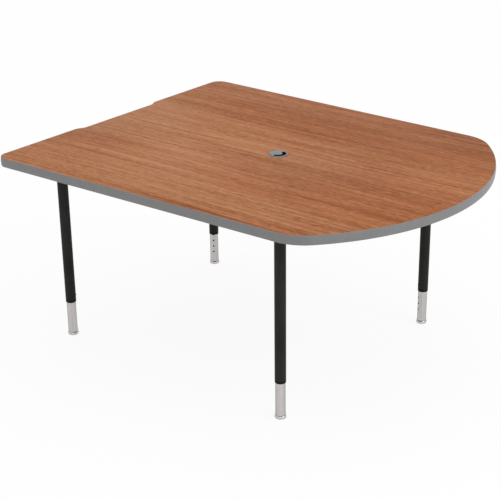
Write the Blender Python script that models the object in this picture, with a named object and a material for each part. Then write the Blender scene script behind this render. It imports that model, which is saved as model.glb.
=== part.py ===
"""Collaboration table: bowed top with a cable notch and grommet, on four telescoping legs.

Frame: X along the table, straight end at -X and bowed end at +X, Y across, Z up from the floor.
The origin is on the floor under the middle of the top. All sizes are in metres.
"""

import math

import bmesh
import bpy
from mathutils import Matrix

# Top, as seen from above
TOP_HEIGHT = 0.7277
TOP_LENGTH = 1.526
TOP_WIDTH = 1.2192
SIDE_TAPER = 0.0217
END_CORNER_RADIUS = 0.0455
BOW_CORNER_RADIUS = 0.154
BOW_RADIUS = 0.771
NOTCH_DEPTH = 0.015
NOTCH_FLOOR_WIDTH = 0.350
NOTCH_MOUTH_WIDTH = 0.446

# Top, through its thickness
TOP_THICKNESS = 0.03175
LAMINATE_THICKNESS = 0.0012
BACKER_THICKNESS = 0.0008
BAND_THICKNESS = 0.0032
BAND_EDGE_RADIUS = 0.0026
BARB_DEPTH = 0.0095
BARB_STEM = 0.0018
BARB_TIP = 0.0026
BARB_PITCH = 0.0047
BARB_COUNT = 2

# Cable grommet
GROMMET_FROM_END = 0.774
GROMMET_HOLE_RADIUS = 0.0309
FLANGE_RADIUS = 0.0339
FLANGE_HEIGHT = 0.0022
FLANGE_ROUND = 0.0009
FLANGE_SEAT_DEPTH = 0.0003
LINER_DEPTH = 0.022
LINER_WALL = 0.0018
CAP_RADIUS = 0.0304
CAP_THICKNESS = 0.0014
CAP_SKIRT_DEPTH = 0.0045
CAP_SKIRT_WALL = 0.0015
SLOT_RIM = 0.0018
SLOT_WIDTH = 0.0138
SLOT_HEAD_ANGLE = 68.0
SLOT_TAIL_ANGLE = -78.0

# Legs
END_LEG_FROM_END = 0.1215
END_LEG_FROM_SIDE = 0.1945
BOW_LEG_FROM_END = 1.1190
BOW_LEG_FROM_SIDE = 0.1624
HOLE_ROW_ANGLE = 58.0
TUBE_RADIUS = 0.01905
TUBE_WALL = 0.0012
TUBE_END_HEIGHT = 0.1413
BUSH_COLLAR = 0.0083
BUSH_SLEEVE = 0.0600
BUSH_ROUND = 0.0024
INSERT_RADIUS = 0.0169
INSERT_WALL = 0.0015
INSERT_BOTTOM = 0.0130
INSERT_LENGTH = 0.3720
INSERT_FLARE = 0.0008
FLARE_LENGTH = 0.0150
HOLE_RADIUS = 0.0035
HOLE_PITCH = 0.0254
HOLE_COUNT = 10
LOWEST_HOLE = 0.0571
SCREW_HOLE = 4

# Lock screw
LOCK_HEAD_RADIUS = 0.0046
LOCK_HEAD_HEIGHT = 0.0009
LOCK_SHANK_RADIUS = 0.0030
LOCK_SOCKET_RADIUS = 0.0021
LOCK_SOCKET_DEPTH = 0.0015

# Mounting plate and its screws
PLATE_SIDE = 0.1200
PLATE_THICKNESS = 0.0034
PLATE_CORNER = 0.0140
WELD_LEG = 0.0040
SCREW_SPACING = 0.0920
SCREW_LENGTH = 0.0250
SCREW_RADIUS = 0.0024
SCREW_HEAD_RADIUS = 0.0046
SCREW_HEAD_HEIGHT = 0.0026

# Stem socket in the insert's lower end
SOCKET_LENGTH = 0.0260

# Swivel glide
BALL_HEIGHT = 0.0070
BALL_RADIUS = 0.0045
NECK_RADIUS = 0.0030
STEM_RADIUS = 0.0040
STEM_COLLAR_RADIUS = 0.0070
STEM_COLLAR_HEIGHT = 0.0010
STEM_TIP = 0.0030
CUP_RADIUS = 0.0193
CUP_HEIGHT = 0.0120
CUP_BASE_RADIUS = 0.0166
CUP_TOP_RADIUS = 0.0156
CUP_WALL = 0.0013
CUP_MOUTH_RADIUS = 0.0086

# Fits
GAP = 0.0003
SLIDE_FIT = 0.0001
BALL_FIT = 0.0004

# Facets round the tubes, the grommet and the small turned pieces
TUBE_SIDES = 16
GROMMET_SIDES = 32
STEM_SIDES = 8
SEAT_SIDES = 12
HOLE_SIDES = 6
SCREW_SIDES = 6

# Heights that follow from the sizes above
UNDERSIDE = TOP_HEIGHT - TOP_THICKNESS
CORE_TOP = TOP_HEIGHT - LAMINATE_THICKNESS - GAP
CORE_BOTTOM = UNDERSIDE + BACKER_THICKNESS + GAP
CORE_OFFSET = BAND_THICKNESS + GAP
PLATE_TOP = UNDERSIDE - GAP
PLATE_BOTTOM = PLATE_TOP - PLATE_THICKNESS
TUBE_TOP = PLATE_BOTTOM - GAP
TUBE_BORE = TUBE_RADIUS - TUBE_WALL
INSERT_BORE = INSERT_RADIUS - INSERT_WALL
LOCK_HEIGHT = LOWEST_HOLE + SCREW_HOLE * HOLE_PITCH
LINER_BORE = GROMMET_HOLE_RADIUS - GAP - LINER_WALL
END_X = -TOP_LENGTH / 2
GROMMET_X = END_X + GROMMET_FROM_END
END_LEG_X = END_X + END_LEG_FROM_END
END_LEG_Y = TOP_WIDTH / 2 - END_LEG_FROM_SIDE
BOW_LEG_X = END_X + BOW_LEG_FROM_END
BOW_LEG_Y = TOP_WIDTH / 2 - BOW_LEG_FROM_SIDE

# Each leg: name, place in X, place in Y, and which way its row of holes faces
LEGS = (
    ("end_right", END_LEG_X, -END_LEG_Y, HOLE_ROW_ANGLE),
    ("end_left", END_LEG_X, END_LEG_Y, -HOLE_ROW_ANGLE),
    ("bow_right", BOW_LEG_X, -BOW_LEG_Y, 180.0 - HOLE_ROW_ANGLE),
    ("bow_left", BOW_LEG_X, BOW_LEG_Y, HOLE_ROW_ANGLE - 180.0),
)


def clear_scene():
    for item in list(bpy.data.objects):
        bpy.data.objects.remove(item, do_unlink=True)


def material(name, colour, roughness, metallic=0.0):
    made = bpy.data.materials.new(name)
    made.use_nodes = True
    shader = made.node_tree.nodes["Principled BSDF"]
    shader.inputs["Base Color"].default_value = (*colour, 1.0)
    shader.inputs["Roughness"].default_value = roughness
    shader.inputs["Metallic"].default_value = metallic
    made.diffuse_color = (*colour, 1.0)
    return made


def make_materials():
    return {
        "laminate": material("laminate", (0.36, 0.13, 0.065), 0.40),
        "core": material("core", (0.45, 0.31, 0.18), 0.90),
        "backer": material("backer", (0.16, 0.13, 0.11), 0.75),
        "band": material("band", (0.26, 0.26, 0.265), 0.50),
        "grommet": material("grommet", (0.25, 0.29, 0.31), 0.45),
        "black_paint": material("black_paint", (0.020, 0.020, 0.018), 0.45),
        "black_plastic": material("black_plastic", (0.012, 0.012, 0.012), 0.55),
        "chrome": material("chrome", (0.62, 0.60, 0.60), 0.12, 1.0),
        "nickel": material("nickel", (0.60, 0.58, 0.56), 0.20, 1.0),
        "zinc": material("zinc", (0.50, 0.50, 0.50), 0.35, 1.0),
    }


def finish(name, bm, paint, location=(0.0, 0.0, 0.0), turn=0.0, parent=None):
    """Object from a bmesh, its faces turned out and round sides shaded smooth."""
    bmesh.ops.recalc_face_normals(bm, faces=bm.faces)
    mesh = bpy.data.meshes.new(name)
    bm.to_mesh(mesh)
    bm.free()
    mesh.shade_smooth()
    mesh.set_sharp_from_angle(angle=math.radians(35.0))
    if paint is not None:
        mesh.materials.append(paint)
    made = bpy.data.objects.new(name, mesh)
    bpy.context.collection.objects.link(made)
    made.parent = parent
    made.location = location
    made.rotation_euler = (0.0, 0.0, math.radians(turn))
    return made


def as_cutter(made):
    made.hide_render = True
    made.display_type = "WIRE"
    return made


def cut(target, cutter, operation="DIFFERENCE"):
    boolean = target.modifiers.new(cutter.name, "BOOLEAN")
    boolean.operation = operation
    boolean.solver = "EXACT"
    boolean.object = cutter


def revolve(profile, sides, closed=True):
    """Turn a profile of (radius, height) points round Z, a flat of the facets facing +X."""
    bm = bmesh.new()
    start = math.pi / sides
    verts = [bm.verts.new((r * math.cos(start), r * math.sin(start), z)) for r, z in profile]
    pairs = list(zip(verts, verts[1:]))
    if closed:
        pairs.append((verts[-1], verts[0]))
    edges = [bm.edges.new(pair) for pair in pairs]
    bmesh.ops.spin(bm, geom=verts + edges, cent=(0, 0, 0), axis=(0, 0, 1), dvec=(0, 0, 0),
                   angle=2 * math.pi, steps=sides, use_merge=True, use_duplicate=False)
    bmesh.ops.remove_doubles(bm, verts=bm.verts, dist=1e-6)
    return bm


def prism(points, bottom, top):
    """Extrude a closed outline of (x, y) points from one height to another."""
    bm = bmesh.new()
    face = bm.faces.new([bm.verts.new((x, y, bottom)) for x, y in points])
    grown = bmesh.ops.extrude_face_region(bm, geom=[face])
    raised = [item for item in grown["geom"] if isinstance(item, bmesh.types.BMVert)]
    bmesh.ops.translate(bm, verts=raised, vec=(0.0, 0.0, top - bottom))
    return bm


def arc(centre, radius, start, end, steps):
    """Points on an arc, angles in degrees, both ends included."""
    points = []
    for step in range(steps + 1):
        angle = math.radians(start + (end - start) * step / steps)
        points.append((centre[0] + radius * math.cos(angle), centre[1] + radius * math.sin(angle)))
    return points


def rounded_square(side, corner, steps=2):
    points = []
    reach = side / 2 - corner
    for quarter, (sx, sy) in enumerate(((1, 1), (-1, 1), (-1, -1), (1, -1))):
        points += arc((sx * reach, sy * reach), corner, 90.0 * quarter, 90.0 * (quarter + 1), steps)
    return points


def notch_curve(steps=3):
    """Two tangent arcs that lead from the notch's floor out to the straight end, on the +Y side."""
    run = (NOTCH_MOUTH_WIDTH - NOTCH_FLOOR_WIDTH) / 4
    rise = NOTCH_DEPTH / 2
    radius = (run * run + rise * rise) / (2 * rise)
    sweep = math.degrees(math.asin(run / radius))
    inner = arc((END_X + NOTCH_DEPTH - radius, NOTCH_FLOOR_WIDTH / 2), radius, 0.0, sweep, steps)
    outer = arc((END_X + radius, NOTCH_MOUTH_WIDTH / 2), radius, 180.0 + sweep, 180.0, steps)
    return inner + outer[1:]


def half_outline():
    """Outer face of the edge band on the +Y side, from the notch round to the tip of the bow."""
    taper = math.atan(SIDE_TAPER)
    half = TOP_WIDTH / 2
    corner = END_CORNER_RADIUS
    corner_y = half - SIDE_TAPER * corner - corner / math.cos(taper)
    tip = TOP_LENGTH / 2
    bow_x = tip - BOW_RADIUS
    inner = BOW_RADIUS - BOW_CORNER_RADIUS
    # The bow corner's centre lies on a line beside the side and on a circle inside the bow
    base_y = half - SIDE_TAPER * (bow_x - END_X) - BOW_CORNER_RADIUS / math.cos(taper)
    a = 1 + SIDE_TAPER ** 2
    b = -2 * SIDE_TAPER * base_y
    c = base_y ** 2 - inner ** 2
    ahead = (-b + math.sqrt(b * b - 4 * a * c)) / (2 * a)
    bow_corner = (bow_x + ahead, base_y - SIDE_TAPER * ahead)
    lean = math.degrees(math.atan2(bow_corner[1], ahead))
    side = 90.0 - math.degrees(taper)
    points = notch_curve()
    points += arc((END_X + corner, corner_y), corner, 180.0, side, 4)
    points += arc(bow_corner, BOW_CORNER_RADIUS, side, lean, 6)
    points += arc((bow_x, 0.0), BOW_RADIUS, lean, 0.0, 9)[1:]
    return points


def top_outline():
    """Whole outline, anticlockwise from above."""
    left = half_outline()
    right = [(x, -y) for x, y in left[:-1]]
    return right + left[::-1]


def offset(points, inward):
    """Outline moved inward by a distance, its corners mitred."""
    moved = []
    for index, (x, y) in enumerate(points):
        before = points[index - 1]
        after = points[(index + 1) % len(points)]
        in_x, in_y = x - before[0], y - before[1]
        out_x, out_y = after[0] - x, after[1] - y
        in_length, out_length = math.hypot(in_x, in_y), math.hypot(out_x, out_y)
        normal_x = -in_y / in_length - out_y / out_length
        normal_y = in_x / in_length + out_x / out_length
        scale = 2 * inward / (normal_x ** 2 + normal_y ** 2)
        moved.append((x + normal_x * scale, y + normal_y * scale))
    return moved


def edge_loft(outline, profile, capped):
    """Sweep (inward, height) points along the outline, and close the ends of an open profile."""
    bm = bmesh.new()
    rings = []
    for inward, height in profile:
        rings.append([bm.verts.new((x, y, height)) for x, y in offset(outline, inward)])
    pairs = list(zip(rings, rings[1:]))
    if not capped:
        pairs.append((rings[-1], rings[0]))
    count = len(outline)
    for low, high in pairs:
        for index in range(count):
            after = (index + 1) % count
            bm.faces.new((low[index], low[after], high[after], high[index]))
    if capped:
        bm.faces.new(rings[0])
        bm.faces.new(rings[-1])
    return bm


def slot_mid_height():
    return (CORE_TOP + CORE_BOTTOM) / 2


def core_profile():
    """The board's side, with the groove that takes the edge band's barbed tongue."""
    mid = slot_mid_height()
    half = BARB_TIP / 2 + GAP
    groove = CORE_OFFSET + BARB_DEPTH
    return [
        (CORE_OFFSET, CORE_BOTTOM),
        (CORE_OFFSET, mid - half),
        (groove, mid - half),
        (groove, mid + half),
        (CORE_OFFSET, mid + half),
        (CORE_OFFSET, CORE_TOP),
    ]


def band_profile():
    """T-shaped section: rounded face outside, barbed tongue inside."""
    round_steps = 2
    mid = slot_mid_height()
    points = []
    for start, z in ((270.0, UNDERSIDE + BAND_EDGE_RADIUS), (0.0, TOP_HEIGHT - BAND_EDGE_RADIUS)):
        # The profile runs inward from the face, so an outward arc has its X turned round
        bend = arc((0.0, z), BAND_EDGE_RADIUS, start, start + 90.0, round_steps)
        points += [(BAND_EDGE_RADIUS - x, height) for x, height in bend]
    points.append((BAND_THICKNESS, TOP_HEIGHT))
    stem, tip = BARB_STEM / 2, BARB_TIP / 2
    upper = [(BAND_THICKNESS, mid + stem)]
    for barb in range(BARB_COUNT):
        start = BAND_THICKNESS + BARB_PITCH * barb + GAP
        upper.append((start + BARB_PITCH * 0.30, mid + tip))
        upper.append((start + BARB_PITCH * 0.85, mid + stem))
    lower = [(inward, 2 * mid - height) for inward, height in reversed(upper)]
    points += upper + lower
    points.append((BAND_THICKNESS, UNDERSIDE))
    return points


def corner_places():
    """Centres of a plate's screws, from the leg's axis."""
    reach = SCREW_SPACING / 2
    return [(sx * reach, sy * reach) for sx in (-1, 1) for sy in (-1, 1)]


def screw_places():
    """Centres of all the plate screws, from the middle of the top."""
    return [(x + dx, y + dy) for _, x, y, _ in LEGS for dx, dy in corner_places()]


def add_copies(bm, source, places):
    """Copies of a small bmesh at (x, y) places, all in one bmesh."""
    mesh = bpy.data.meshes.new("copy")
    source.to_mesh(mesh)
    source.free()
    for x, y in places:
        before = len(bm.verts)
        bm.from_mesh(mesh)
        bm.verts.ensure_lookup_table()
        bmesh.ops.translate(bm, verts=bm.verts[before:], vec=(x, y, 0.0))
    bpy.data.meshes.remove(mesh)


def make_top(paint):
    outline = top_outline()
    centre = (GROMMET_X, 0.0, 0.0)
    bore = as_cutter(finish("grommet_bore", revolve(
        [(0.0, UNDERSIDE - 0.01), (GROMMET_HOLE_RADIUS, UNDERSIDE - 0.01),
         (GROMMET_HOLE_RADIUS, TOP_HEIGHT + 0.01), (0.0, TOP_HEIGHT + 0.01)],
        GROMMET_SIDES, closed=False), None, centre))
    screw_top = PLATE_BOTTOM - GAP + SCREW_LENGTH
    pilots = bmesh.new()
    pilot = revolve([(0.0, UNDERSIDE - 0.01), (SCREW_RADIUS + GAP, UNDERSIDE - 0.01),
                     (SCREW_RADIUS + GAP, screw_top + GAP), (0.0, screw_top + GAP)],
                    SCREW_SIDES, closed=False)
    add_copies(pilots, pilot, screw_places())
    pilots = as_cutter(finish("pilot_holes", pilots, None))

    core = finish("core_board", edge_loft(outline, core_profile(), True), paint["core"])
    cut(core, bore)
    cut(core, pilots)
    skin = offset(outline, CORE_OFFSET)
    laminate = finish("laminate_top", prism(skin, CORE_TOP + GAP, TOP_HEIGHT), paint["laminate"])
    cut(laminate, bore)
    # A shallow seat in the laminate takes the foot of the grommet's flange
    seat_floor = TOP_HEIGHT - FLANGE_SEAT_DEPTH
    seat = revolve([(0.0, seat_floor), (FLANGE_RADIUS + GAP, seat_floor),
                    (FLANGE_RADIUS + GAP, TOP_HEIGHT + 0.01), (0.0, TOP_HEIGHT + 0.01)],
                   GROMMET_SIDES, closed=False)
    cut(laminate, as_cutter(finish("flange_seat", seat, None, centre)))
    backer = finish("backer_sheet", prism(skin, UNDERSIDE, CORE_BOTTOM - GAP), paint["backer"])
    cut(backer, bore)
    cut(backer, pilots)
    finish("edge_band", edge_loft(outline, band_profile(), False), paint["band"])


def make_grommet_liner(paint):
    foot = GAP - FLANGE_SEAT_DEPTH
    lip = FLANGE_HEIGHT
    sleeve = GROMMET_HOLE_RADIUS - GAP
    recess = CAP_RADIUS + GAP
    ledge = lip - CAP_THICKNESS - GAP
    flange_edge = arc((FLANGE_RADIUS - FLANGE_ROUND, lip - FLANGE_ROUND), FLANGE_ROUND, 0.0, 90.0, 2)
    profile = [(LINER_BORE, -LINER_DEPTH), (sleeve, -LINER_DEPTH), (sleeve, foot), (FLANGE_RADIUS, foot)]
    profile += flange_edge
    profile += [(recess, lip), (recess, ledge), (LINER_BORE, ledge)]
    finish("grommet_liner", revolve(profile, GROMMET_SIDES), paint["grommet"],
           (GROMMET_X, 0.0, TOP_HEIGHT))


def slot_outline():
    """Curved slot of even width along the rim of the cap, round at its head and at its tail."""
    half = SLOT_WIDTH / 2
    outer = CAP_RADIUS - SLOT_RIM
    middle = outer - half
    head, tail = (
        (middle * math.cos(math.radians(angle)), middle * math.sin(math.radians(angle)))
        for angle in (SLOT_HEAD_ANGLE, SLOT_TAIL_ANGLE))
    points = arc((0.0, 0.0), outer, SLOT_TAIL_ANGLE, SLOT_HEAD_ANGLE, 12)
    points += arc(head, half, SLOT_HEAD_ANGLE, SLOT_HEAD_ANGLE + 180.0, 6)[1:]
    points += arc((0.0, 0.0), outer - SLOT_WIDTH, SLOT_HEAD_ANGLE, SLOT_TAIL_ANGLE, 8)[1:]
    points += arc(tail, half, SLOT_TAIL_ANGLE - 180.0, SLOT_TAIL_ANGLE, 6)[1:-1]
    return points


def make_grommet_cap(paint):
    top = FLANGE_HEIGHT
    under = top - CAP_THICKNESS
    skirt = LINER_BORE - 3 * GAP
    profile = [
        (0.0, under), (skirt - CAP_SKIRT_WALL, under), (skirt - CAP_SKIRT_WALL, under - CAP_SKIRT_DEPTH),
        (skirt, under - CAP_SKIRT_DEPTH), (skirt, under), (CAP_RADIUS, under),
        (CAP_RADIUS, top - GAP), (CAP_RADIUS - GAP, top), (0.0, top),
    ]
    centre = (GROMMET_X, 0.0, TOP_HEIGHT)
    cap = finish("grommet_cap", revolve(profile, GROMMET_SIDES, closed=False), paint["grommet"], centre)
    cutter = prism(slot_outline(), under - CAP_SKIRT_DEPTH - GAP, top + GAP)
    cut(cap, as_cutter(finish("cap_slot", cutter, None, centre)))


def make_mounting_plate(name, leg, turn, paint):
    """Square steel plate with the weld bead that holds the tube."""
    plate = finish("mounting_plate_" + name,
                   prism(rounded_square(PLATE_SIDE, PLATE_CORNER), PLATE_BOTTOM, PLATE_TOP),
                   paint["black_paint"], parent=leg)
    bead = TUBE_RADIUS + GAP
    sink = PLATE_THICKNESS / 2
    weld = revolve([(bead, PLATE_BOTTOM - WELD_LEG), (bead + WELD_LEG * 0.35, PLATE_BOTTOM - WELD_LEG * 0.35),
                    (bead + WELD_LEG, PLATE_BOTTOM), (bead + WELD_LEG, PLATE_BOTTOM + sink),
                    (bead, PLATE_BOTTOM + sink)], TUBE_SIDES)
    cut(plate, as_cutter(finish("weld_bead_" + name, weld, None, turn=turn, parent=leg)), "UNION")
    holes = bmesh.new()
    hole = revolve([(0.0, PLATE_BOTTOM - GAP), (SCREW_RADIUS + 2 * GAP, PLATE_BOTTOM - GAP),
                    (SCREW_RADIUS + 2 * GAP, PLATE_TOP + GAP), (0.0, PLATE_TOP + GAP)],
                   SCREW_SIDES, closed=False)
    add_copies(holes, hole, corner_places())
    cut(plate, as_cutter(finish("plate_holes_" + name, holes, None, parent=leg)))


def radial_hole(name, leg, turn, radius, inner, height):
    """Cutter that crosses one wall of a tube along the row of holes."""
    hole = revolve([(0.0, inner), (radius, inner), (radius, 2 * TUBE_RADIUS), (0.0, 2 * TUBE_RADIUS)],
                   HOLE_SIDES, closed=False)
    bmesh.ops.transform(hole, matrix=Matrix.Rotation(math.pi / 2, 4, "Y"), verts=hole.verts)
    return as_cutter(finish(name, hole, None, (0.0, 0.0, height), turn, leg))


def make_outer_tube(name, leg, turn, lock_hole, paint):
    profile = [(TUBE_BORE, TUBE_END_HEIGHT), (TUBE_RADIUS, TUBE_END_HEIGHT),
               (TUBE_RADIUS, TUBE_TOP), (TUBE_BORE, TUBE_TOP)]
    tube = finish("outer_tube_" + name, revolve(profile, TUBE_SIDES), paint["black_paint"],
                  turn=turn, parent=leg)
    cut(tube, lock_hole)


def make_guide_bush(name, leg, turn, lock_hole, paint):
    """Collar with a rounded lower edge, and a thin sleeve up inside the tube."""
    top = TUBE_END_HEIGHT - GAP
    bottom = TUBE_END_HEIGHT - BUSH_COLLAR
    bore = INSERT_RADIUS + SLIDE_FIT
    sleeve = TUBE_BORE - SLIDE_FIT
    profile = [(bore, bottom), (TUBE_RADIUS - BUSH_ROUND, bottom)]
    profile += arc((TUBE_RADIUS - BUSH_ROUND, bottom + BUSH_ROUND), BUSH_ROUND, -90.0, 0.0, 2)[1:]
    profile += [(TUBE_RADIUS, top), (sleeve, top), (sleeve, top + BUSH_SLEEVE), (bore, top + BUSH_SLEEVE)]
    bush = finish("guide_bush_" + name, revolve(profile, TUBE_SIDES), paint["black_plastic"],
                  turn=turn, parent=leg)
    cut(bush, lock_hole)


def make_lock_screw(name, leg, turn, paint):
    """Button-head socket screw through the tube wall, its tip drawn back clear of the insert."""
    seat = TUBE_RADIUS + GAP
    tip = INSERT_RADIUS + GAP
    socket = seat + LOCK_HEAD_HEIGHT - LOCK_SOCKET_DEPTH
    profile = [(0.0, tip), (LOCK_SHANK_RADIUS, tip), (LOCK_SHANK_RADIUS, seat), (LOCK_HEAD_RADIUS, seat),
               (LOCK_HEAD_RADIUS * 0.9, seat + LOCK_HEAD_HEIGHT * 0.6),
               (LOCK_HEAD_RADIUS * 0.6, seat + LOCK_HEAD_HEIGHT),
               (LOCK_SOCKET_RADIUS, seat + LOCK_HEAD_HEIGHT), (LOCK_SOCKET_RADIUS, socket), (0.0, socket)]
    screw = revolve(profile, STEM_SIDES, closed=False)
    bmesh.ops.transform(screw, matrix=Matrix.Rotation(math.pi / 2, 4, "Y"), verts=screw.verts)
    finish("lock_screw_" + name, screw, paint["black_paint"], (0.0, 0.0, LOCK_HEIGHT), turn, leg)


def make_insert(name, leg, turn, paint):
    """Chrome tube with a row of adjusting holes and a slightly flared lower end."""
    inner_flare = INSERT_BORE + INSERT_FLARE
    outer_flare = INSERT_RADIUS + INSERT_FLARE
    shoulder = FLARE_LENGTH
    profile = [(inner_flare, 0.0), (outer_flare, 0.0), (INSERT_RADIUS, shoulder),
               (INSERT_RADIUS, INSERT_LENGTH), (INSERT_BORE, INSERT_LENGTH), (INSERT_BORE, shoulder)]
    tube = finish("insert_tube_" + name, revolve(profile, TUBE_SIDES), paint["chrome"],
                  (0.0, 0.0, INSERT_BOTTOM), turn, leg)
    holes = radial_hole("hole_row_" + name, leg, turn, HOLE_RADIUS, INSERT_BORE / 2, LOWEST_HOLE)
    row = holes.modifiers.new("row", "ARRAY")
    row.count = HOLE_COUNT
    row.use_relative_offset = False
    row.use_constant_offset = True
    row.constant_offset_displace = (0.0, 0.0, HOLE_PITCH)
    row.use_merge_vertices = False
    cut(tube, holes)


def make_stem_socket(name, leg, turn, paint):
    """Plug pressed into the insert's lower end, bored for the glide's stem."""
    bore = (STEM_RADIUS + SLIDE_FIT) / math.cos(math.pi / SEAT_SIDES)
    outer = INSERT_BORE - SLIDE_FIT
    profile = [(bore, GAP), (outer, GAP), (outer, SOCKET_LENGTH), (bore, SOCKET_LENGTH)]
    finish("stem_socket_" + name, revolve(profile, TUBE_SIDES), paint["black_plastic"],
           (0.0, 0.0, INSERT_BOTTOM), turn, leg)


def make_glide_stem(name, leg, paint):
    """Ball, neck, bearing collar and grooved shank; heights are from the ball's centre."""
    collar_top = INSERT_BOTTOM - BALL_HEIGHT
    collar_bottom = collar_top - STEM_COLLAR_HEIGHT
    shank_top = collar_top + GAP + SOCKET_LENGTH + STEM_TIP
    neck = math.degrees(math.acos(NECK_RADIUS / BALL_RADIUS))
    ball = arc((0.0, 0.0), BALL_RADIUS, -90.0, neck, 5)
    profile = [(0.0, ball[0][1])] + ball[1:]
    groove = STEM_RADIUS * 0.75
    profile += [
        (NECK_RADIUS, collar_bottom), (STEM_COLLAR_RADIUS, collar_bottom), (STEM_COLLAR_RADIUS, collar_top),
        (STEM_RADIUS, collar_top), (STEM_RADIUS, shank_top - STEM_TIP), (groove, shank_top - STEM_TIP),
        (groove, shank_top - STEM_TIP / 2), (STEM_RADIUS, shank_top - STEM_TIP / 2), (groove, shank_top),
        (0.0, shank_top),
    ]
    finish("glide_stem_" + name, revolve(profile, STEM_SIDES, closed=False), paint["zinc"],
           (0.0, 0.0, BALL_HEIGHT), parent=leg)


def make_glide_cup(name, leg, paint):
    """Domed steel shell that stands on the floor; heights are from the ball's centre."""
    def level(height):
        return height - BALL_HEIGHT

    widest = CUP_HEIGHT / 2
    shoulder = (CUP_TOP_RADIUS * 0.35 + CUP_RADIUS * 0.65, CUP_HEIGHT * 0.86)
    foot = (CUP_RADIUS - (CUP_RADIUS - CUP_BASE_RADIUS) * 0.25, CUP_HEIGHT * 0.19)
    outside = [(0.0, level(0.0)), (CUP_BASE_RADIUS, level(0.0)), (foot[0], level(foot[1])),
               (CUP_RADIUS, level(widest)), (shoulder[0], level(shoulder[1])),
               (CUP_TOP_RADIUS, level(CUP_HEIGHT)), (CUP_MOUTH_RADIUS, level(CUP_HEIGHT))]
    inside = [(CUP_MOUTH_RADIUS, level(CUP_HEIGHT - CUP_WALL)),
              (CUP_TOP_RADIUS - CUP_WALL / 2, level(CUP_HEIGHT - CUP_WALL)),
              (CUP_RADIUS - CUP_WALL, level(widest)), (CUP_BASE_RADIUS - CUP_WALL / 2, level(CUP_WALL)),
              (0.0, level(CUP_WALL))]
    finish("glide_cup_" + name, revolve(outside + inside, TUBE_SIDES, closed=False), paint["nickel"],
           (0.0, 0.0, BALL_HEIGHT), parent=leg)


def make_glide_seat(name, leg, paint):
    """Moulded seat that fills the cup and snaps over the ball."""
    bottom = CUP_WALL + GAP - BALL_HEIGHT
    top = CUP_HEIGHT - CUP_WALL - GAP - BALL_HEIGHT
    socket = BALL_RADIUS + BALL_FIT
    opening = math.degrees(math.asin(top / socket))
    profile = [(0.0, -socket)] + arc((0.0, 0.0), socket, -90.0, opening, 4)[1:]
    profile += [(CUP_TOP_RADIUS - CUP_WALL, top), (CUP_RADIUS - 2 * CUP_WALL, CUP_HEIGHT / 2 - BALL_HEIGHT),
                (CUP_BASE_RADIUS - 2 * CUP_WALL, bottom), (0.0, bottom)]
    finish("glide_seat_" + name, revolve(profile, SEAT_SIDES, closed=False), paint["black_plastic"],
           (0.0, 0.0, BALL_HEIGHT), parent=leg)


def make_plate_screws(name, leg, paint):
    """Pan-head wood screws, one at each corner of the plate, on one shared mesh."""
    length = SCREW_LENGTH
    bm = revolve([(0.0, -SCREW_HEAD_HEIGHT), (SCREW_HEAD_RADIUS * 0.7, -SCREW_HEAD_HEIGHT),
                  (SCREW_HEAD_RADIUS, -SCREW_HEAD_HEIGHT * 0.4), (SCREW_HEAD_RADIUS, 0.0),
                  (SCREW_RADIUS, 0.0), (SCREW_RADIUS, length - 2 * SCREW_RADIUS), (0.0, length)],
                 SCREW_SIDES, closed=False)
    seat = PLATE_BOTTOM - GAP
    places = corner_places()
    first = finish("plate_screw_" + name + "_1", bm, paint["zinc"], (*places[0], seat), parent=leg)
    for number, (x, y) in enumerate(places[1:], 2):
        screw = bpy.data.objects.new("plate_screw_" + name + "_" + str(number), first.data)
        bpy.context.collection.objects.link(screw)
        screw.parent = leg
        screw.location = (x, y, seat)


def make_leg(name, x, y, turn, paint):
    leg = bpy.data.objects.new("leg_" + name, None)
    bpy.context.collection.objects.link(leg)
    leg.location = (x, y, 0.0)
    make_mounting_plate(name, leg, turn, paint)
    make_plate_screws(name, leg, paint)
    clear = (LOCK_SHANK_RADIUS + GAP) / math.cos(math.pi / HOLE_SIDES)
    lock_hole = radial_hole("lock_hole_" + name, leg, turn, clear, INSERT_RADIUS / 2, LOCK_HEIGHT)
    make_outer_tube(name, leg, turn, lock_hole, paint)
    make_guide_bush(name, leg, turn, lock_hole, paint)
    make_lock_screw(name, leg, turn, paint)
    make_insert(name, leg, turn, paint)
    make_stem_socket(name, leg, turn, paint)
    make_glide_stem(name, leg, paint)
    make_glide_cup(name, leg, paint)
    make_glide_seat(name, leg, paint)


def main():
    clear_scene()
    paint = make_materials()
    make_top(paint)
    make_grommet_liner(paint)
    make_grommet_cap(paint)
    for name, x, y, turn in LEGS:
        make_leg(name, x, y, turn, paint)


main()
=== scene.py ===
"""Looks of the collaboration table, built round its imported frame.

Metres. X runs along the table from its straight end to its bowed end, Y across it, Z up from the floor.
"""

import math
import random

import bmesh
import bpy
from mathutils import Matrix, Vector


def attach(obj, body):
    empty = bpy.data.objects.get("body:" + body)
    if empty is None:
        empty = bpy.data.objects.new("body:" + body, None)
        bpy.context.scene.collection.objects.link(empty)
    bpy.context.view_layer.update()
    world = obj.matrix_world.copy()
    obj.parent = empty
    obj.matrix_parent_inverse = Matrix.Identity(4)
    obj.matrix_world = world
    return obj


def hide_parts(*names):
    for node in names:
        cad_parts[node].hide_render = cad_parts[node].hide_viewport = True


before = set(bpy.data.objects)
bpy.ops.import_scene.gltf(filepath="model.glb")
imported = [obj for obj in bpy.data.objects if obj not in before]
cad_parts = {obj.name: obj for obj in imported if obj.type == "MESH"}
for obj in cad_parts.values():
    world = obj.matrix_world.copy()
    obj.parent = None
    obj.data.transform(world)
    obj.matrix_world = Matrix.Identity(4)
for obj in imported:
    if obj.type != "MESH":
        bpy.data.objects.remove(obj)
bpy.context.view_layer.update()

# Top, as seen from above
TOP_HEIGHT = 0.7277
TOP_LENGTH = 1.526
TOP_WIDTH = 1.2192
SIDE_TAPER = 0.0217
END_CORNER_RADIUS = 0.0455
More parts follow.
